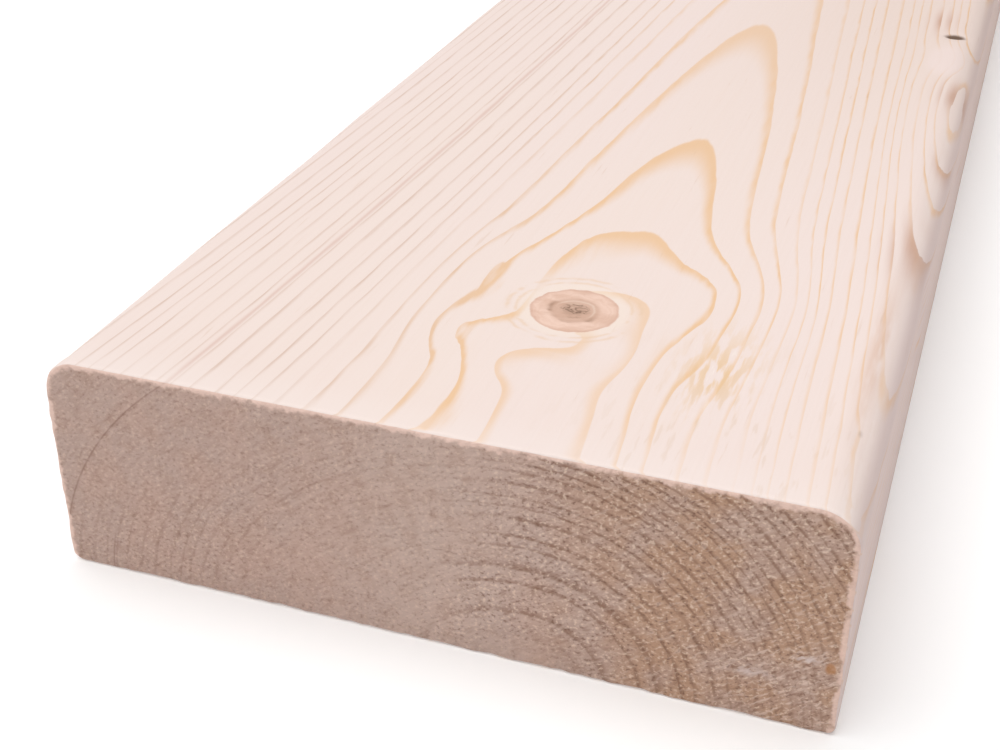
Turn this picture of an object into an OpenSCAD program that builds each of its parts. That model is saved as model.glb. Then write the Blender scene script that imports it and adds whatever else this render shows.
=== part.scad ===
// Planed softwood plank: one sawn and machined piece of timber, lying flat.
// +X runs across the width, +Y along the length and +Z up through the thickness.
// The origin is on the surface that the plank lies on, under the middle of the plank.

/* [Size] */
// Length of the plank, between its two sawn ends
plank_length = 2400; // [300:100:6000]
// Width of the wide faces, over the rounded edges
plank_width = 145; // [70:5:300]
// Thickness of the plank
plank_thickness = 44; // [20:1:100]

/* [Edges] */
// Radius of the two long edges of the upper face
top_edge_radius = 7; // [1:0.5:12]
// Radius of the two long edges of the lower face
bottom_edge_radius = 1.5; // [0.5:0.5:5]

/* [Hidden] */
// Facets of a full turn of an edge's rounding
edge_fn = 64;
// Each rounding keeps within its share of the thickness, so that a flat side is left between them
largest_rounding = 0.45 * plank_thickness;
top_radius = min(top_edge_radius, largest_rounding);
bottom_radius = min(bottom_edge_radius, largest_rounding);

// A strip of the section, from one height to another, drawn in from both sides by an inset
module strip(inset, low, high) {
    translate([inset - plank_width / 2, low])
        square([plank_width - 2 * inset, high - low]);
}

// The round part of the two long edges at one height, touching both sides of the section
module rounded_edges(radius, height) {
    for (side = [-1, 1])
        translate([side * (plank_width / 2 - radius), height])
            circle(r = radius, $fn = edge_fn);
}

// The planed section, seen from the near end, with its lower face on the X axis
module section() {
    strip(0, bottom_radius, plank_thickness - top_radius);
    strip(top_radius, plank_thickness - top_radius, plank_thickness);
    strip(bottom_radius, 0, bottom_radius);
    rounded_edges(top_radius, plank_thickness - top_radius);
    rounded_edges(bottom_radius, bottom_radius);
}

// The whole plank: the section run from the near end, at -Y, to the far end
module plank() {
    color([0.93, 0.84, 0.75])
        translate([0, plank_length / 2, 0])
            rotate([90, 0, 0])
                linear_extrude(height = plank_length)
                    section();
}

plank();
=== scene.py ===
"""A planed softwood plank: one sawn piece, modelled and shaded as solid timber.

The growth rings are one field in space, so the arches on the wide face, the lines on the edges and the
arcs on the sawn ends all belong to the same rings. Lengths inside the wood are in millimetres, measured
from the near end: x across, y along and z up. The scene itself is in metres, in the frame of the CAD.
"""

import math

import bpy
import numpy as np
from mathutils import Euler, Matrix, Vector


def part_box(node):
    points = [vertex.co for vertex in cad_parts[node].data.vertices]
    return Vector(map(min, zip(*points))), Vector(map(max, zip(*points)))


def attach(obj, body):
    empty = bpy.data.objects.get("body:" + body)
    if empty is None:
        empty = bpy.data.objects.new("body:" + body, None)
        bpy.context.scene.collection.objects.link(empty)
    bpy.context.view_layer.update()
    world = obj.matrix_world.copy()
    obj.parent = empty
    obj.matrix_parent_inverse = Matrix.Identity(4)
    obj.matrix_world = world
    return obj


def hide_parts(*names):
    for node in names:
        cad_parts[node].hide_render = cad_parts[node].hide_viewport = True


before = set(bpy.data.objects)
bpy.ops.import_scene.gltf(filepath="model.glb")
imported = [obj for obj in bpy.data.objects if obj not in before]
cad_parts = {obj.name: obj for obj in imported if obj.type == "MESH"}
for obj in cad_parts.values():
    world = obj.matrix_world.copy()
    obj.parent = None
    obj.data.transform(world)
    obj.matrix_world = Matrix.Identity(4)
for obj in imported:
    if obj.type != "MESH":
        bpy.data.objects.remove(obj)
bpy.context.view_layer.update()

MM = 0.001
LOW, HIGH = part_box("plank")
LENGTH = (HIGH[1] - LOW[1]) / MM
HALF_WIDTH = (HIGH[0] - LOW[0]) / 2 / MM
THICKNESS = (HIGH[2] - LOW[2]) / MM
TOP_RADIUS = 7.0
BOTTOM_RADIUS = 1.5


# ---------------------------------------------------------------- arithmetic for nodes and arrays


class Num:
    """A number that varies inside a shader. Arithmetic on it adds Math nodes to its material."""

    def __init__(self, socket):
        self.socket = socket
        self.tree = socket.id_data

    def __add__(self, other):
        return maths("ADD", self, other)

    def __sub__(self, other):
        return maths("SUBTRACT", self, other)

    def __rsub__(self, other):
        return maths("SUBTRACT", other, self)

    def __mul__(self, other):
        return maths("MULTIPLY", self, other)

    def __truediv__(self, other):
        return maths("DIVIDE", self, other)

    def __pow__(self, other):
        return maths("POWER", self, other)

    __radd__ = __add__
    __rmul__ = __mul__


def plug(tree, socket, value):
    """Links a Num or a socket into an input, or sets the input to a plain value."""
    if isinstance(value, Num):
        value = value.socket
    if isinstance(value, bpy.types.NodeSocket):
        tree.links.new(value, socket)
    else:
        socket.default_value = value


def maths(operation, *values):
    """The result of a Math node on Nums and plain numbers, at least one of which is a Num."""
    tree = next(v.tree for v in values if isinstance(v, Num))
    node = tree.nodes.new("ShaderNodeMath")
    node.operation = operation
    for socket, value in zip(node.inputs, values):
        plug(tree, socket, value)
    return Num(node.outputs[0])


# Each function from here to the growth rings takes a Num, or plain numbers or arrays


def root(v):
    return maths("SQRT", v) if isinstance(v, Num) else np.sqrt(v)


def exp(v):
    return maths("EXPONENT", v) if isinstance(v, Num) else np.exp(v)


def sine(v):
    return maths("SINE", v) if isinstance(v, Num) else np.sin(v)


def least(v, limit):
    return maths("MINIMUM", v, limit) if isinstance(v, Num) else np.minimum(v, limit)


def most(v, limit):
    return maths("MAXIMUM", v, limit) if isinstance(v, Num) else np.maximum(v, limit)


def whole(v):
    return maths("FLOOR", v) if isinstance(v, Num) else np.floor(v)


def ramp(v, start, end):
    """0 before start, 1 after end and a smooth rise between them. Start may be the larger number."""
    if start > end:
        return 1 - ramp(v, end, start)
    if isinstance(v, Num):
        node = v.tree.nodes.new("ShaderNodeMapRange")
        node.interpolation_type = "SMOOTHSTEP"
        plug(v.tree, node.inputs["Value"], v)
        node.inputs["From Min"].default_value = start
        node.inputs["From Max"].default_value = end
        return Num(node.outputs["Result"])
    t = np.clip((v - start) / (end - start), 0, 1)
    return t * t * (3 - 2 * t)


def hill(v, middle, spread):
    """A smooth hill, 1 high, round a middle value."""
    off = (v - middle) / spread
    return exp(off * off * -1)


# ---------------------------------------------------------------- the growth rings


def pith(y):
    """Where the heart of the tree runs: across and up. It starts 3.5 mm under the lower face, to the right
    of the middle, and sinks and moves to the left along the plank."""
    across = exp(y / -1000) * 33 - 14
    wander = sine(y / 170) * ramp(y, 300, 800) * 2.2
    up = exp(y / -1600) * 44 - 47.5 - wander
    return across, up


def ring_radius(x, y, z):
    """How far out in the tree a point is. The rings are wider on the left of the pith than above it, and a
    little wavy away from the near end."""
    across, up = pith(y)
    aside = x - across
    stretch = exp(y / -150) * 0.22 + 1.15
    left = least(aside, 0) / stretch
    right = most(aside, 0)
    above = z - up
    radius = root(left * left + right * right + above * above)
    wobble = sine(x / 21 + y / 83 + 0.4) * sine(z / 17 + y / 143 + 0.6)
    return radius + wobble * (ramp(y, 250, 900) * 0.9)


# The rings grow narrower out to a radius, and beyond it each is as wide as the last of them
YOUNG_RADIUS = 48
RING_WIDTH = 1.85
# Sets which radius is the start of a year, so that the arches come where they should
FIRST_COUNT = -13.21
# Two rings on the left are dark curves on the sawn ends, and the first is also a darker line above
DARK_RING_RADIUS = 67.6
FAINT_RING_RADIUS = 60.3


def ring_count(radius):
    """The number of the ring at a radius. Its fraction is how far that year's growth had gone."""
    young = least(radius, YOUNG_RADIUS)
    count = young * young / (2 * YOUNG_RADIUS * RING_WIDTH) + (radius - young) / RING_WIDTH + FIRST_COUNT
    good_years = hill(radius, 51.3, 2.2) * 0.5
    slow_change = sine(radius * 0.8 + 2) * ((1 - hill(radius, 50.5, 4)) * 0.17)
    return count + good_years + slow_change


# ---------------------------------------------------------------- colours, each as it looks on a screen


def linear(r, g, b):
    """A colour given from 0 to 255, as the shader wants it."""
    return [((c / 255 + 0.055) / 1.055) ** 2.4 for c in (r, g, b)] + [1.0]


# The planed faces
EARLYWOOD = linear(245, 227, 222)
WARM_EARLYWOOD = linear(245, 227, 217)
LATEWOOD = linear(243, 203, 163)
GREY_LATEWOOD = linear(224, 197, 182)
STREAK = linear(226, 196, 176)
PORE = linear(214, 180, 152)
DARK_RING = linear(212, 170, 154)
NEAR_EDGE = linear(248, 234, 228)
TORN_DARK = linear(238, 200, 152)
TORN_PALE = linear(253, 242, 232)
FUZZ = linear(224, 196, 170)
EDGE_BAND = linear(226, 186, 160)
LUMP = linear(248, 230, 225)
BROWN = linear(206, 158, 132)
CHECK = linear(116, 92, 76)
# By these the colour is multiplied: painted shade that darkens the far right of the plank, and on the right
# side a darkening that is partly painted shade and partly the side's own greyish pink
FAR_RIGHT_PAINTED_SHADE = linear(246, 243, 240)
RIGHT_SIDE_TONE_AND_SHADE = linear(236, 229, 230)

# The knots
KNOT_PALE = linear(244, 210, 192)
KNOT_PINK = linear(231, 194, 174)
KNOT_RING = linear(200, 154, 130)
KNOT_MIDDLE = linear(196, 154, 130)
KNOT_PAINTED_SHADE = linear(150, 112, 88)
KNOT_PAINTED_HIGHLIGHT = linear(238, 212, 194)
HEART = linear(160, 128, 108)
HEART_LINE = linear(112, 84, 66)
HEART_SPECK = linear(226, 198, 176)
KNOT_RIM = linear(214, 172, 152)
HALO = linear(249, 232, 216)
HALO_LINE = linear(238, 206, 176)

# The sawn ends
END_PINK = linear(199, 168, 155)
END_GREY = linear(195, 168, 157)
END_MIDDLE = linear(210, 186, 174)
END_CLOUD = linear(180, 148, 132)
END_WARM = linear(190, 150, 120)
TORN_EARLYWOOD_AND_GROOVE_SHADE = linear(142, 106, 87)
PIT = linear(132, 100, 84)
GRAIN_TIP = linear(240, 214, 194)
FIBRE_PALE = linear(234, 208, 194)
FIBRE_DARK = linear(142, 106, 88)
WHITE_FIBRE = linear(226, 208, 204)
RESIN = linear(186, 128, 78)
CURVED_CRACK = linear(136, 100, 86)
FRINGE = linear(247, 214, 200)


# ---------------------------------------------------------------- shader building blocks


def blend(tree, share, first, second, kind="MIX"):
    """One colour going to another as share goes from 0 to 1."""
    node = tree.nodes.new("ShaderNodeMix")
    node.data_type = "RGBA"
    node.blend_type = kind
    plug(tree, node.inputs["Factor"], share)
    plug(tree, node.inputs["A"], first)
    plug(tree, node.inputs["B"], second)
    return node.outputs["Result"]


def vector(tree, operation, *values):
    """The result of a Vector Math node on sockets and plain vectors."""
    node = tree.nodes.new("ShaderNodeVectorMath")
    node.operation = operation
    for socket, value in zip([s for s in node.inputs if s.enabled], values):
        plug(tree, socket, value)
    return node.outputs["Value" if operation in ("DOT_PRODUCT", "LENGTH") else "Vector"]


def noise(tree, place, size, detail, offset=0.0):
    """Smooth noise, 0 to 1, with lumps of a size in mm, which may differ along x, y and z."""
    node = tree.nodes.new("ShaderNodeTexNoise")
    scaled = vector(tree, "MULTIPLY_ADD", place, [1 / s for s in size], (offset, offset, offset))
    plug(tree, node.inputs["Vector"], scaled)
    node.inputs["Scale"].default_value = 1.0
    node.inputs["Detail"].default_value = detail
    return Num(node.outputs["Fac"])


def new_material(name):
    """A material with its shader, and the place in the wood in mm as a vector and as x, y and z."""
    mat = bpy.data.materials.new(name)
    mat.use_nodes = True
    tree = mat.node_tree
    tree.nodes.clear()
    shader = tree.nodes.new("ShaderNodeBsdfPrincipled")
    output = tree.nodes.new("ShaderNodeOutputMaterial")
    tree.links.new(shader.outputs[0], output.inputs["Surface"])
    coords = tree.nodes.new("ShaderNodeTexCoord")
    place = vector(tree, "MULTIPLY_ADD", coords.outputs["Object"], (1 / MM,) * 3, (0, -LOW[1] / MM, 0))
    parts = tree.nodes.new("ShaderNodeSeparateXYZ")
    tree.links.new(place, parts.inputs[0])
    return mat, tree, shader, place, [Num(s) for s in parts.outputs]


def set_bump(tree, shader, height, distance):
    """Bends the surface's normal by a height of 0 to 1, which stands for a distance in mm."""
    node = tree.nodes.new("ShaderNodeBump")
    node.inputs["Strength"].default_value = 1.0
    node.inputs["Distance"].default_value = distance * MM
    plug(tree, node.inputs["Height"], height)
    tree.links.new(node.outputs[0], shader.inputs["Normal"])


# ---------------------------------------------------------------- knots

# Each knot: where it comes out of the surface, x, y, z in mm, and its radius there
MAIN_KNOT = (11.8, 49.0, 44.0, 8.6)
SECTION_KNOTS = [
    [MAIN_KNOT],
    [(-34, 470, 44, 5.0), (72, 505, 19, 6.0), (24, 760, 44, 7.5)],
    [(-8, 1010, 44, 9.0), (-72, 1050, 22, 6.0), (40, 1290, 44, 4.5)],
    [(-50, 1500, 44, 5.5), (18, 1560, 44, 8.0), (72, 1790, 26, 5.0)],
    [(-20, 2040, 44, 8.0), (45, 2075, 44, 5.0), (-72, 2290, 15, 5.0)],
]
# Where each section of the long faces ends
SECTION_ENDS = [340, 860, 1380, 1900, LENGTH]
LAST_SECTION = len(SECTION_ENDS) - 1
# The sawn ends' number, after those of the sections
END = len(SECTION_ENDS)

# Marks near the near end, each made of lobes: a lobe's middle (x, y), its reach along x and y, and its
# height. In the first two lists and the dents the height is in mm; in the others it's a mark's strength.
AROUND_MAIN_KNOT = [
    ((10, 26), (8.5, 7), 1.3),  # the bar in front of the knot
    ((-6, 35), (9, 10), 1.6),  # the hook on its left
    ((-2, 68), (10, 14), 0.9),
    ((-12.5, 55), (7, 22), 1.9),  # the left side of the second arch
    ((5, 82), (8, 11), 0.40),  # the top of the first arch
    ((40, 62), (13, 22), 3.3),  # the right sides of the arches
    ((42, 36), (6, 12), 1.0),  # the rings by the torn patch
    ((15, 52), (11, 9), 1.2),
    ((23, 36), (5, 10), 1.3),
    ((17, 12), (7, 11), 1.1),
    ((6, 3), (5, 12), -0.7),
]
EDGE_SWIRL = [((66, 222), (7, 15), 2.6), ((67, 178), (11, 60), -2.6)]
BROAD_BANDS = [((9.5, 30), (7, 4.5), 0.75), ((25.5, 40), (4, 12), 0.65)]
FADED_BY_KNOT = [((21.5, 37), (3.5, 5.5), 0.95), ((1.5, 56), (3.5, 8), 0.85)]
FADED_IN_EDGE = [((69.5, 191), (5, 16), 0.9)]
FADED_AT_CORNER = [((50, 4), (22, 30), 0.65)]
TORN_PATCH = [((42, 35), (6, 13), 1.0)]
FUZZY_CORNER = [((48, 12), (22, 26), 1.0)]
TAN_BAND = [((67.4, 52), (1.7, 24), 0.55)]
PALE_LUMP = [((64, 221), (6, 16), 1.0)]
BROWN_TIPS = [
    ((69, 195), (4.5, 10), 1.0),
    ((68, 98), (4.5, 14), 1.0),
    ((60, 256), (3.5, 10), 0.95),
    ((70, 146), (3, 9), 0.6),
]
CHECK_AND_TICK = [((64.6, 243), (3.3, 2.5), 1.0), ((68.2, 25), (0.9, 2.4), 0.44)]
EDGE_DENTS = [
    ((70, 96), (5, 10), 0.5),
    ((70, 196), (5, 12), 0.5),
    ((68, 25), (4, 5), 0.35),
    ((64.6, 243), (2.8, 2.2), 0.9),
]
# The same on the near sawn end, across and up
WHITE_FIBRES = [((66.5, 14.5), (2.2, 0.7), 1.0), ((57.5, 9.5), (3.0, 0.9), 0.8)]
RESIN_SPOT = [((70.4, 13.6), (1.0, 1.3), 1.0)]


def branch(tree, place, knot):
    """How far a point is from the middle of a branch that grew out of the pith: as a share of the branch's
    radius there and in mm. After these come the point's places along and across the branch."""
    x, y, z, radius = knot
    start_y = y - 6
    across, up = pith(np.float64(start_y))
    start = Vector((across, start_y, up))
    reach = Vector((x, y, z)) - start
    way = reach.normalized()
    offset = vector(tree, "SUBTRACT", place, tuple(start))
    along = Num(vector(tree, "DOT_PRODUCT", offset, tuple(way)))
    foot = vector(tree, "SCALE", tuple(way))
    plug(tree, foot.node.inputs["Scale"], along)
    side = vector(tree, "SUBTRACT", offset, foot)
    away = Num(vector(tree, "LENGTH", side))
    girth = most(along, 4) * (radius / reach.length)
    return away / girth, away, along, side


def knot_push(knot, away, along):
    """How far the rings are carried outwards beside a branch."""
    radius = knot[3]
    off = away / (2.4 * radius)
    return exp(off * off * -1) * ramp(along, 2, 25) * (0.34 * radius)


def lobes(x, y, places):
    """Smooth hills on a face, added up. Each has its middle, its reach along x and y, and its height."""
    total = None
    for middle, reach, height in places:
        across = (x - middle[0]) / reach[0]
        down = (y - middle[1]) / reach[1]
        hump = exp((across * across + down * down) * -1) * height
        total = hump if total is None else total + hump
    return total


def near_end_push(x, y, z):
    """How far the rings are carried outwards round the large knot, and where a twig was overgrown in the
    right edge. It dies away towards the lower face."""
    return lobes(x, y, AROUND_MAIN_KNOT + EDGE_SWIRL) * ramp(z, 0, 40)


def paint_knot(tree, colour, place, q, side):
    """Lays a knot over a colour: a pinkish brown disc with rings, a dark heart and a thin rim, in a pale
    halo, with painted shade on the near left side of its inner rings and a painted highlight on their far
    side. q is the distance from the knot's middle as a share of its radius."""
    uneven = noise(tree, place, (2.2, 2.2, 2.2), 2.0, 7.3)
    blotch = noise(tree, place, (6.0, 3.0, 6.0), 2.0, 1.3)
    fine = noise(tree, place, (1.9, 1.4, 1.9), 1.0, 4.6)
    q = q + (uneven - 0.5) * 0.12
    inside = ramp(q, 1.01, 0.96)
    rings = sine(q * 44 + (uneven - 0.5) * 15) * 0.5 + 0.5
    # The side of the knot towards the near end and the left, which gets painted shade; the far side gets a
    # painted highlight
    knot_shaded_side = ramp(Num(vector(tree, "DOT_PRODUCT", side, (-0.5, -1, 0))), -2.0, 2.0)

    disc = blend(tree, ramp(blotch, 0.35, 0.65), KNOT_PALE, KNOT_PINK)
    disc = blend(tree, rings * 0.12, disc, KNOT_RING)
    disc = blend(tree, ramp(q, 0.62, 0.50) * 0.50, disc, KNOT_MIDDLE)
    # Painted shade on the near left side of the knot's inner rings, and a painted highlight on their far
    # side
    knot_painted_shade = hill(q, 0.56, 0.06) * knot_shaded_side * ramp(blotch, 0.35, 0.55) * 0.6
    disc = blend(tree, knot_painted_shade, disc, KNOT_PAINTED_SHADE)
    disc = blend(tree, hill(q, 0.44, 0.03) * (1 - knot_shaded_side) * 0.6, disc, KNOT_PAINTED_HIGHLIGHT)
    disc = paint_heart(tree, disc, q, fine, rings)
    disc = blend(tree, hill(q, 0.96, 0.05) * 0.5, disc, KNOT_RIM)

    colour = blend(tree, ramp(q, 1.40, 1.05) * 0.45, colour, HALO)
    lines = (hill(q, 1.27, 0.04) + hill(q, 1.47, 0.05)) * ramp(blotch, 0.40, 0.62) * 0.55
    colour = blend(tree, lines * (1 - inside), colour, HALO_LINE)
    return blend(tree, inside, colour, disc)


def paint_heart(tree, disc, q, fine, rings):
    """Lays the uneven dark heart of a knot over its disc, with its fine cracks and pale specks."""
    heart = ramp(q + (fine - 0.5) * 0.3, 0.36, 0.22)
    crack = hill(fine + rings * 0.10, 0.54, 0.04)
    disc = blend(tree, heart * 0.30, disc, HEART)
    disc = blend(tree, heart * crack * 0.75, disc, HEART_LINE)
    return blend(tree, heart * ramp(fine, 0.42, 0.30) * 0.6, disc, HEART_SPECK)


# ---------------------------------------------------------------- wood along the grain


def near_end_latewood(late, season, x, y, z):
    """Latewood as it shows at the near end: broad soft bands in front of the large knot, and faint lines in
    the swirl of the right edge and at the near right corner."""
    broad = lobes(x, y, BROAD_BANDS) * ramp(season, 0.40, 0.92) * ramp(season, 1.0, 0.965)
    late = most(late, broad)
    late = late * (1 - lobes(x, y, FADED_IN_EDGE))
    return late * (1 - lobes(x, y, FADED_AT_CORNER) * ramp(z, 36, 43))


def paint_near_end(tree, colour, early_colour, place, x, y, z, season, ragged):
    """Lays the marks of the near end over a colour: the torn patch and the fuzzy grain in front of it, and
    the tan band, pale lump, brown pointed tips, check and tick of the right edge."""
    on_top = ramp(z, 36, 43)
    colour = blend(tree, ramp(y, 11, 1) * 0.35, colour, NEAR_EDGE)
    colour = blend(tree, lobes(x, y, FADED_BY_KNOT), colour, early_colour)

    splinters = noise(tree, place, (1.2, 8, 1.2), 2.0, 1.9)
    torn = lobes(x, y, TORN_PATCH) * on_top
    colour = blend(tree, torn * ramp(splinters, 0.46, 0.60) * 0.75, colour, TORN_DARK)
    colour = blend(tree, torn * ramp(splinters, 0.38, 0.28) * 0.6, colour, TORN_PALE)
    fuzz = lobes(x, y, FUZZY_CORNER) * on_top * ramp(splinters, 0.56, 0.66)
    colour = blend(tree, fuzz * 0.30, colour, FUZZ)

    colour = blend(tree, lobes(x, y, TAN_BAND) * ramp(ragged, 0.25, 0.50), colour, EDGE_BAND)
    lump = ramp(lobes(x, y, PALE_LUMP), 0.30, 0.75) * on_top
    colour = blend(tree, lump * 0.9, colour, LUMP)
    brown = least(lobes(x, y, BROWN_TIPS), 1) * ramp(season, 0.15, 0.95) * ramp(z, 30, 41)
    colour = blend(tree, brown * 0.75, colour, BROWN)
    check = lobes(x, y, CHECK_AND_TICK) * ramp(z, 36, 41)
    return blend(tree, ramp(check, 0.28, 0.80), colour, CHECK)


def side_grain(name, knots, near_end):
    """The planed long faces of one section of the plank, with the knots in it."""
    mat, tree, shader, place, (x, y, z) = new_material(name)
    wave = noise(tree, place, (17, 95, 17), 1.0)
    ragged = noise(tree, place, (2.0, 14, 2.0), 2.0, 3.1)
    streak = noise(tree, place, (0.7, 26, 0.7), 2.0, 5.7)
    patch = noise(tree, place, (38, 170, 38), 1.0, 9.4)

    # The rings, wavier away from the near end and more ragged on the flanks, where they are cut at a slant
    across, _ = pith(y)
    flank = ramp(most(across - x, x - across), 3, 26)
    radius = ring_radius(x, y, z) + (wave - 0.5) * (ramp(y, 200, 600) * 1.2 + 0.45)
    radius = radius + (ragged - 0.5) * (flank * 0.34 + 0.05)
    branches = [branch(tree, place, knot) for knot in knots]
    if near_end:
        radius = radius - near_end_push(x, y, z)
    else:
        for knot, (_, away, along, _) in zip(knots, branches):
            radius = radius - knot_push(knot, away, along)

    # How strongly the latewood shows: it rises through the season, ends sharply and differs by the year
    count = ring_count(radius)
    year = whole(count)
    season = count - year
    late = ramp(season, 0.66, 0.94) ** (flank * 1.2 + 1.0) * ramp(season, 1.0, 0.965)
    chance = tree.nodes.new("ShaderNodeTexWhiteNoise")
    chance.noise_dimensions = "1D"
    plug(tree, chance.inputs["W"], year)
    arches = hill(year, 0.5, 2.4)
    strength = most(Num(chance.outputs["Value"]) * 0.40 + 0.38, arches)
    late = late * strength * most((ragged - 0.5) * flank * 2.4 + 1.0, 0.1)
    if near_end:
        late = near_end_latewood(late, season, x, y, z)

    early_colour = blend(tree, patch, EARLYWOOD, WARM_EARLYWOOD)
    late_colour = blend(tree, ramp(across - x, 16, 48), LATEWOOD, GREY_LATEWOOD)
    colour = blend(tree, late, early_colour, late_colour)
    colour = blend(tree, (streak - 0.35) * 0.16, colour, STREAK)
    colour = blend(tree, ramp(streak * ragged, 0.42, 0.50) * 0.22, colour, PORE)
    dark_ring = hill(radius, DARK_RING_RADIUS, 0.25) * ramp(y, 900, 250) * ramp(x, 10, -20)
    colour = blend(tree, dark_ring * 0.45, colour, DARK_RING)
    if near_end:
        colour = paint_near_end(tree, colour, early_colour, place, x, y, z, season, ragged)
    for q, _, _, side in branches:
        colour = paint_knot(tree, colour, place, q, side)
    # Painted shade: darker towards the right and away from the near end, as if the light fell off there
    far_right_painted_shade = ramp(y, 60, 320) * ramp(x, -35, 60)
    colour = blend(tree, far_right_painted_shade, colour, FAR_RIGHT_PAINTED_SHADE, "MULTIPLY")
    # The right side is darkened: partly painted shade for less light on that face, partly its own
    # greyish-pink tone
    colour = blend(tree, ramp(x, 69.5, 72.2), colour, RIGHT_SIDE_TONE_AND_SHADE, "MULTIPLY")

    plug(tree, shader.inputs["Base Color"], colour)
    plug(tree, shader.inputs["Roughness"], 0.62 - late * 0.12 + (streak - 0.5) * 0.12)
    shader.inputs["Specular IOR Level"].default_value = 0.35
    set_bump(tree, shader, streak, 0.06)
    return mat


# ---------------------------------------------------------------- wood across the grain


def edge_distance(x, z):
    """How far in from the outline a point of the sawn end is, above the middle of the thickness."""
    reach = most(x, x * -1) - (HALF_WIDTH - TOP_RADIUS)
    rise = z - (THICKNESS - TOP_RADIUS)
    out_x, out_z = most(reach, 0), most(rise, 0)
    return TOP_RADIUS - root(out_x * out_x + out_z * out_z) - least(most(reach, rise), 0)


def torn_side(x, z, unevenness):
    """Where the saw tore the rings of the sawn end: 0.15 on the left, 1 on the right, a little further left
    lower down."""
    return ramp(x - z * 0.3 + 6 + unevenness, 0, 20) * 0.85 + 0.15


def paint_end_marks(tree, colour, x, y, z, radius, cloud, fibre):
    """Lays over a colour the white fibres and the resin spot, which are on the near end only, and the dark
    curves along two rings."""
    near = ramp(y, 1000, 500)
    white = lobes(x, z, WHITE_FIBRES) * ramp(fibre, 0.35, 0.55) * near
    colour = blend(tree, white * 0.8, colour, WHITE_FIBRE)
    resin = ramp(lobes(x, z, RESIN_SPOT) * near, 0.25, 0.7)
    colour = blend(tree, resin * 0.7, colour, RESIN)
    crack = hill(radius, DARK_RING_RADIUS, 0.13) * ramp(x, -30, -40) * ramp(cloud, 0.15, 0.6)
    crack = crack + hill(radius, FAINT_RING_RADIUS, 0.12) * ramp(x, -50, -56) * ramp(z, 10, 6) * 0.8
    return blend(tree, crack * 0.55, colour, CURVED_CRACK)


def end_grain(name):
    """The sawn ends: grooves torn along the rings, most on the right, among fine grit and torn fibres. The
    grooves are darkened, partly for the torn earlywood's own colour and partly as painted shade in them.
    """
    mat, tree, shader, place, (x, y, z) = new_material(name)
    mottle = noise(tree, place, (9, 9, 9), 2.0, 2.2)
    cloud = noise(tree, place, (3.2, 40, 3.2), 2.0, 5.2)
    grit = noise(tree, place, (0.78, 40, 0.62), 2.0, 6.1)
    tilt = tree.nodes.new("ShaderNodeVectorRotate")
    tilt.rotation_type = "Y_AXIS"
    tilt.inputs["Angle"].default_value = math.radians(35)
    tree.links.new(place, tilt.inputs["Vector"])
    fibre = noise(tree, tilt.outputs[0], (1.9, 40, 0.6), 2.0, 8.8)
    corner = hill(x, 66, 13) * hill(z, 8, 12)

    smooth_radius = ring_radius(x, y, z)
    radius = smooth_radius + (cloud - 0.5) * 0.8 + (grit - 0.5) * 0.5
    count = ring_count(radius)
    season = count - whole(count)
    clear = torn_side(x, z, (mottle - 0.5) * 24) * ramp(radius, 5, 16)
    clear = clear + ramp(radius, 34, 50) * ramp(z - x * 0.5, 52, 34) * ramp(x, 0, -20) * 0.25
    groove = ramp(season, 0.0, 0.10) * ramp(season, 0.40, 0.13) * clear * (1 - corner * 0.6)

    colour = blend(tree, ramp(mottle, 0.3, 0.7), END_PINK, END_GREY)
    colour = blend(tree, hill(x, 2, 18) * 0.45, colour, END_MIDDLE)
    colour = blend(tree, ramp(cloud, 0.42, 0.75) * 0.45, colour, END_CLOUD)
    warm = ramp(x, 14, 44) * (ramp(mottle, 0.62, 0.42) * 0.45 + 0.28)
    colour = blend(tree, warm, colour, END_WARM)
    # Darker in the grooves along the rings: partly the torn earlywood's colour, partly painted shade in the
    # grooves
    colour = blend(tree, groove * (cloud + 0.08), colour, TORN_EARLYWOOD_AND_GROOVE_SHADE)
    colour = blend(tree, ramp(grit, 0.43, 0.31) * (clear * 0.50 + 0.25), colour, PIT)
    colour = blend(tree, ramp(grit, 0.55, 0.68) * (clear * 0.40 + 0.22), colour, GRAIN_TIP)
    torn = corner * 0.4 + 0.15
    colour = blend(tree, ramp(fibre, 0.52, 0.70) * (clear * 0.15 + torn), colour, FIBRE_PALE)
    colour = blend(tree, ramp(fibre, 0.46, 0.30) * (clear * 0.20 + torn), colour, FIBRE_DARK)
    colour = paint_end_marks(tree, colour, x, y, z, smooth_radius, cloud, fibre)

    ragged = (noise(tree, place, (1.8, 40, 1.8), 3.0, 3.7) - 0.5) * 2.8
    fringe = ramp(edge_distance(x, z) + ragged, 1.4, 0.5)
    colour = blend(tree, fringe * 0.8, colour, FRINGE)

    plug(tree, shader.inputs["Base Color"], colour)
    plug(tree, shader.inputs["Roughness"], 0.78 + groove * 0.12)
    shader.inputs["Specular IOR Level"].default_value = 0.2
    set_bump(tree, shader, grit + fibre * 0.6, 0.30)
    return mat


# ---------------------------------------------------------------- the plank's mesh

# A cube of random numbers, which repeats beyond its last cell
CELLS = 32
LATTICE = np.random.default_rng(5).random((CELLS, CELLS, CELLS))


def lumps(x, y, z, size):
    """Smooth random numbers from -1 to 1 at each point, with lumps of a size in mm."""
    total = 0
    cells = [np.floor(v / size).astype(int) for v in (x, y, z)]
    steps = [v / size - c for v, c in zip((x, y, z), cells)]
    steps = [t * t * (3 - 2 * t) for t in steps]
    for corner in np.ndindex(2, 2, 2):
        weight = np.prod([t if c else 1 - t for t, c in zip(steps, corner)], axis=0)
        i, j, k = [(c + d) % CELLS for c, d in zip(cells, corner)]
        total = total + weight * LATTICE[i, j, k]
    return total * 2 - 1


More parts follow.
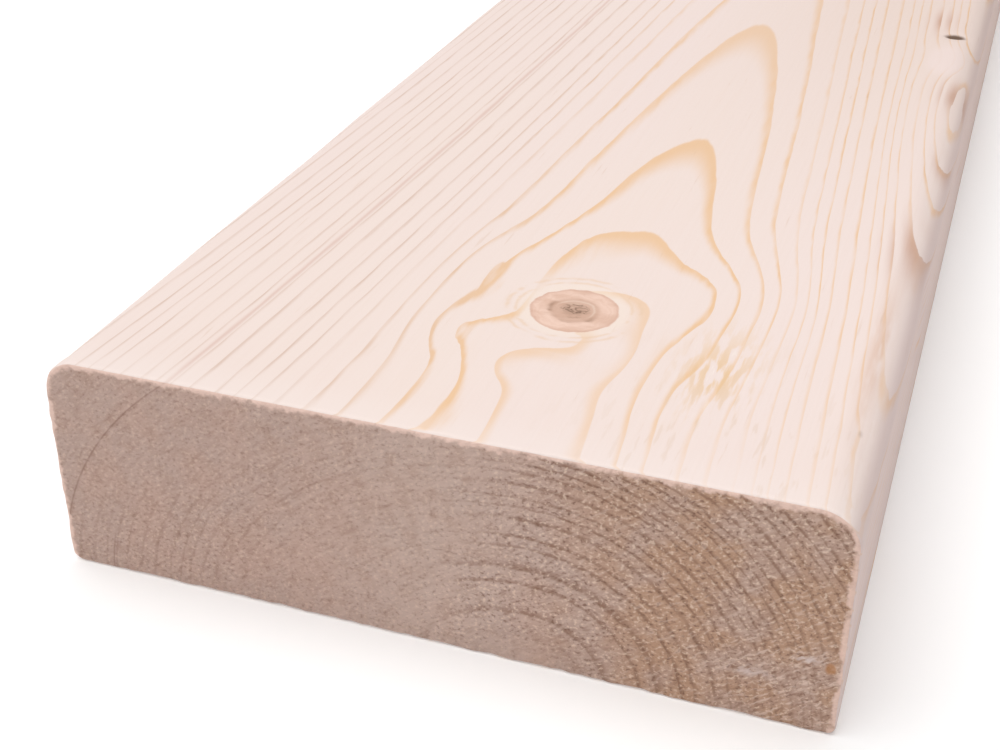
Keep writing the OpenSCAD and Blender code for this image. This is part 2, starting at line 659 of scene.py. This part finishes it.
# Coarse steps round the section, each FINE fine ones: on the wide faces, on the sides and in the roundings
FINE = 3
TOP_STEPS, SIDE_STEPS, TOP_ROUND_STEPS, BOTTOM_ROUND_STEPS = 66, 18, 8, 2
# Rows of vertices along the plank, in mm: how far the first and last are from the ends, the step between
# rows up to where the fine rows end, and beyond that how fast the step grows and how long it gets
FIRST_ROW = 3.0
FINE_ROW_STEP, FINE_ROWS_END = 1.7, 310
ROW_GROWTH, LONGEST_ROW_STEP = 1.09, 18.0
# How far from a sawn end the faces with fine steps go
FINE_RIM = 1.5


def outline():
    """The section's outline in fine steps, clockwise from the middle of the upper left rounding, with its
    outward normals."""
    points, normals = [], []

    def flat(a, b, normal, steps):
        """Adds a straight side from a to b, without b itself."""
        for i in range(steps * FINE):
            t = i / (steps * FINE)
            points.append((a[0] + (b[0] - a[0]) * t, a[1] + (b[1] - a[1]) * t))
            normals.append(normal)

    def turn(cx, cz, radius, start, steps, first=0.0, last=1.0):
        """Adds a quarter turn from an angle in degrees, or its part from first to last, without its end."""
        count = round(steps * FINE * (last - first))
        for i in range(count):
            a = math.radians(start - 90 * (first + (last - first) * i / count))
            points.append((cx + radius * math.cos(a), cz + radius * math.sin(a)))
            normals.append((math.cos(a), math.sin(a)))

    w, h, t, b = HALF_WIDTH, THICKNESS, TOP_RADIUS, BOTTOM_RADIUS
    turn(-w + t, h - t, t, 180, TOP_ROUND_STEPS, 0.5, 1.0)
    flat((-w + t, h), (w - t, h), (0, 1), TOP_STEPS)
    turn(w - t, h - t, t, 90, TOP_ROUND_STEPS)
    flat((w, h - t), (w, b), (1, 0), SIDE_STEPS)
    turn(w - b, b, b, 0, BOTTOM_ROUND_STEPS)
    flat((w - b, 0), (-w + b, 0), (0, -1), TOP_STEPS + TOP_ROUND_STEPS - BOTTOM_ROUND_STEPS)
    turn(-w + b, b, b, 270, BOTTOM_ROUND_STEPS)
    flat((-w, b), (-w, h - t), (-1, 0), SIDE_STEPS)
    turn(-w + t, h - t, t, 180, TOP_ROUND_STEPS, 0.0, 0.5)
    return np.array(points), np.array(normals)


def patch_inside(loop, across, up):
    """A grid over a closed loop, whose four sides are across, up, across and up steps long."""
    top = loop[: across + 1]
    right = loop[across : across + up + 1]
    bottom = loop[across + up : 2 * across + up + 1][::-1]
    left = np.vstack([loop[2 * across + up :], loop[:1]])[::-1]
    u = np.linspace(0, 1, across + 1)[None, :, None]
    v = np.linspace(0, 1, up + 1)[:, None, None]
    sides = (1 - v) * top[None] + v * bottom[None] + (1 - u) * left[:, None] + u * right[:, None]
    upper_corners = (1 - u) * (1 - v) * top[0] + u * (1 - v) * top[-1]
    lower_corners = (1 - u) * v * bottom[0] + u * v * bottom[-1]
    return sides - upper_corners - lower_corners


def row_places():
    """Where the rows of vertices lie along the plank: close at the near end, then further apart."""
    places, step = [FIRST_ROW], FINE_ROW_STEP
    while places[-1] < LENGTH - FIRST_ROW - step:
        if places[-1] > FINE_ROWS_END:
            step = min(step * ROW_GROWTH, LONGEST_ROW_STEP)
        places.append(places[-1] + step)
    places[-1] = LENGTH - FIRST_ROW
    return places


def long_face_relief(x, y, z, normal):
    """How far the surface is sunk: soft dents in the rounded edges, the check, the knot's rim and the torn
    patch."""
    rounded = np.clip(np.abs(normal[:, 0] * normal[:, 1]) * 2, 0, 1)
    sunk = rounded * (0.16 + 0.16 * lumps(x, y / 3, z, 9.0))
    right = (x > 50) & (z > 20)
    sunk = sunk + right * lobes(x, y, EDGE_DENTS)
    distance = np.hypot(x - MAIN_KNOT[0], y - MAIN_KNOT[1]) / MAIN_KNOT[3]
    upper = z > THICKNESS - 0.5
    sunk = sunk + upper * (0.16 * hill(distance, 1.0, 0.12) + 0.05 * hill(distance, 0.0, 0.6))
    torn = lobes(x, y, TORN_PATCH) * upper
    return sunk + torn * (0.12 + 0.12 * lumps(x, y / 4, z, 2.2))


def end_relief(x, y, z):
    """How far the sawn end is torn in at each point: in a groove along each ring, deepest on the right, and
    in coarse tears at the lower right corner."""
    count = ring_count(ring_radius(x, y, z))
    season = count - np.floor(count)
    groove = ramp(season, 0.0, 0.12) * ramp(season, 0.60, 0.25)
    clear = torn_side(x, z, 6 * lumps(x, y, z, 9.0))
    pits = 0.5 + 0.5 * lumps(x, y, z, 0.9)
    tears = hill(x, 64, 12) * hill(z, 8, 10) * lumps(x - z, y, (x + z) / 3, 1.2)
    depth = 0.06 + clear * groove * (0.10 + 0.20 * pits) + 0.08 * pits * clear
    return depth + 0.30 * np.maximum(tears, 0)


def plank_mesh():
    """The whole plank as one closed mesh, with a detailed sawn face at each end. Each face has the number of
    its section of the long faces, or END."""
    points, normals = outline()
    around = len(points)
    across = (TOP_STEPS + TOP_ROUND_STEPS) * FINE
    up = around // 2 - across
    verts, faces, kinds = [], [], []

    def add(x, y, z):
        """Adds vertices and returns their numbers."""
        first = sum(len(v) for v in verts)
        verts.append(np.column_stack([x, LOW[1] / MM + y, z]))
        return np.arange(first, first + len(x))

    def quads(a, b, kind):
        """Faces between two closed loops of vertices with as many in each."""
        for i in range(len(a)):
            j = (i + 1) % len(a)
            faces.append((a[i], a[j], b[j], b[i]))
            kinds.append(kind)

    def end_loops(end_y, into, section):
        """A sawn end: its face, and its rounded, ragged edge. Into is 1 where the plank lies towards +y and
        -1 where it lies towards -y. Returns the outermost fine loop."""
        ys = np.full(around, end_y)
        ragged = 0.72 + 0.32 * lumps(points[:, 0], ys, points[:, 1], 1.8)
        ragged = ragged + 0.34 * lumps(points[:, 0], ys + 9, points[:, 1], 4.0)
        ragged = np.maximum(ragged, 0.2)
        inner = points - normals * ragged[:, None]
        grid = patch_inside(inner, across, up)
        gx, gz = grid[..., 0].ravel(), grid[..., 1].ravel()
        gy = end_y + into * end_relief(gx, np.full(len(gx), end_y), gz)
        ids = add(gx, gy, gz).reshape(up + 1, across + 1)
        for r in range(up):
            for c in range(across):
                corners = (ids[r, c], ids[r + 1, c], ids[r + 1, c + 1], ids[r, c + 1])
                faces.append(corners if into > 0 else corners[::-1])
                kinds.append(END)
        rim = np.concatenate([ids[0, :-1], ids[:-1, -1], ids[-1, :0:-1], ids[:0:-1, 0]])
        loops = [rim]
        for angle in (45, 90):
            a = math.radians(angle)
            edge = points - normals * (ragged * (1 - math.sin(a)))[:, None]
            sunk = 0.05 + ragged * (1 - math.cos(a))
            loops.append(add(edge[:, 0], end_y + into * sunk, edge[:, 1]))
        loops.append(add(points[:, 0], np.full(around, end_y + into * FINE_RIM), points[:, 1]))
        for a, b, kind in zip(loops, loops[1:], (END, section, section)):
            quads(*((a, b) if into > 0 else (b, a)), kind)
        return loops[-1]

    def join(fine, rough, into, section):
        """Faces from a fine loop to one with a vertex for every FINE of its own."""
        for i in range(len(rough)):
            j = (i + 1) % len(rough)
            run = [fine[(i * FINE + k) % around] for k in range(FINE + 1)]
            ring = run + [rough[j], rough[i]]
            faces.append(tuple(ring if into > 0 else ring[::-1]))
            kinds.append(section)

    near = end_loops(0.0, 1, 0)
    coarse, coarse_normals = points[::FINE], normals[::FINE]
    rows = []
    for y in row_places():
        ys = np.full(len(coarse), y)
        sunk = long_face_relief(coarse[:, 0], ys, coarse[:, 1], coarse_normals)
        sunk = sunk * (y > FIRST_ROW + 1)
        moved = coarse - coarse_normals * sunk[:, None]
        rows.append((y, add(moved[:, 0], ys, moved[:, 1])))
    for (y, a), (_, b) in zip(rows, rows[1:]):
        quads(a, b, next(i for i, end in enumerate(SECTION_ENDS) if y < end))
    far = end_loops(LENGTH, -1, LAST_SECTION)
    join(near, rows[0][1], 1, 0)
    join(far, rows[-1][1], -1, LAST_SECTION)
    return np.vstack(verts) * MM, faces, kinds


def make_plank():
    """The plank with its materials: one for each section of the long faces, and one for the sawn ends."""
    verts, faces, kinds = plank_mesh()
    mesh = bpy.data.meshes.new("plank_wood")
    mesh.from_pydata(verts.tolist(), [], [tuple(int(i) for i in f) for f in faces])
    mesh.validate()
    for i, knots in enumerate(SECTION_KNOTS):
        mesh.materials.append(side_grain(f"softwood_{i + 1}", knots, i == 0))
    mesh.materials.append(end_grain("softwood_end"))
    mesh.polygons.foreach_set("material_index", kinds)
    mesh.polygons.foreach_set("use_smooth", [True] * len(kinds))
    mesh.update()
    piece = bpy.data.objects.new("plank_wood", mesh)
    bpy.context.scene.collection.objects.link(piece)
    return piece


# ---------------------------------------------------------------- floor, light and camera


def make_floor():
    """A wide white floor just under the plank. It glows a little, so that only the soft shadow shows."""
    half = 30.0
    corners = [(-half, -half, 0), (half, -half, 0), (half, half, 0), (-half, half, 0)]
    mesh = bpy.data.meshes.new("floor")
    mesh.from_pydata(corners, [], [(0, 1, 2, 3)])
    floor = bpy.data.objects.new("floor", mesh)
    bpy.context.scene.collection.objects.link(floor)
    floor.location.z = -0.3 * MM
    mat = bpy.data.materials.new("pale_floor")
    mat.use_nodes = True
    shader = mat.node_tree.nodes["Principled BSDF"]
    shader.inputs["Base Color"].default_value = (0.97, 0.97, 0.97, 1)
    shader.inputs["Roughness"].default_value = 0.9
    shader.inputs["Specular IOR Level"].default_value = 0.1
    shader.inputs["Emission Color"].default_value = (1, 1, 1, 1)
    shader.inputs["Emission Strength"].default_value = 0.10
    mat.cycles.emission_sampling = "NONE"
    mesh.materials.append(mat)


def make_light():
    """A white room with one wide soft light high above, a little to the left and to the front. The room
    looks white behind the floor, but lights the plank with less than that."""
    room_light, room_seen = 0.26, 1.0
    world = bpy.data.worlds.new("studio")
    world.use_nodes = True
    background = world.node_tree.nodes["Background"]
    background.inputs["Color"].default_value = (1, 1, 1, 1)
    rays = world.node_tree.nodes.new("ShaderNodeLightPath")
    seen = Num(rays.outputs["Is Camera Ray"])
    plug(world.node_tree, background.inputs["Strength"], seen * (room_seen - room_light) + room_light)
    bpy.context.scene.world = world
    light = bpy.data.lights.new("softbox", "SUN")
    light.energy = 2.47
    light.angle = math.radians(70)
    lamp = bpy.data.objects.new("softbox", light)
    lamp.rotation_euler = Vector((-0.15, -0.10, 1.0)).to_track_quat("Z", "Y").to_euler()
    bpy.context.scene.collection.objects.link(lamp)


def make_camera():
    """Close above the near end and a little to its right, looking down along the plank."""
    down, to_the_left = 30.29, 19.45
    data = bpy.data.cameras.new("camera")
    data.lens, data.sensor_width = 54.42, 36.0
    data.clip_start, data.clip_end = 0.01, 100.0
    camera = bpy.data.objects.new("camera", data)
    camera.location = (0.0821, LOW[1] - 0.1922, 0.1765)
    camera.rotation_euler = Euler((math.radians(90 - down), 0.0, math.radians(to_the_left)), "XYZ")
    bpy.context.scene.collection.objects.link(camera)
    bpy.context.scene.camera = camera


plank = make_plank()
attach(plank, "root")
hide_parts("plank")
make_floor()
make_light()
make_camera()
bpy.context.scene.view_settings.view_transform = "Standard"
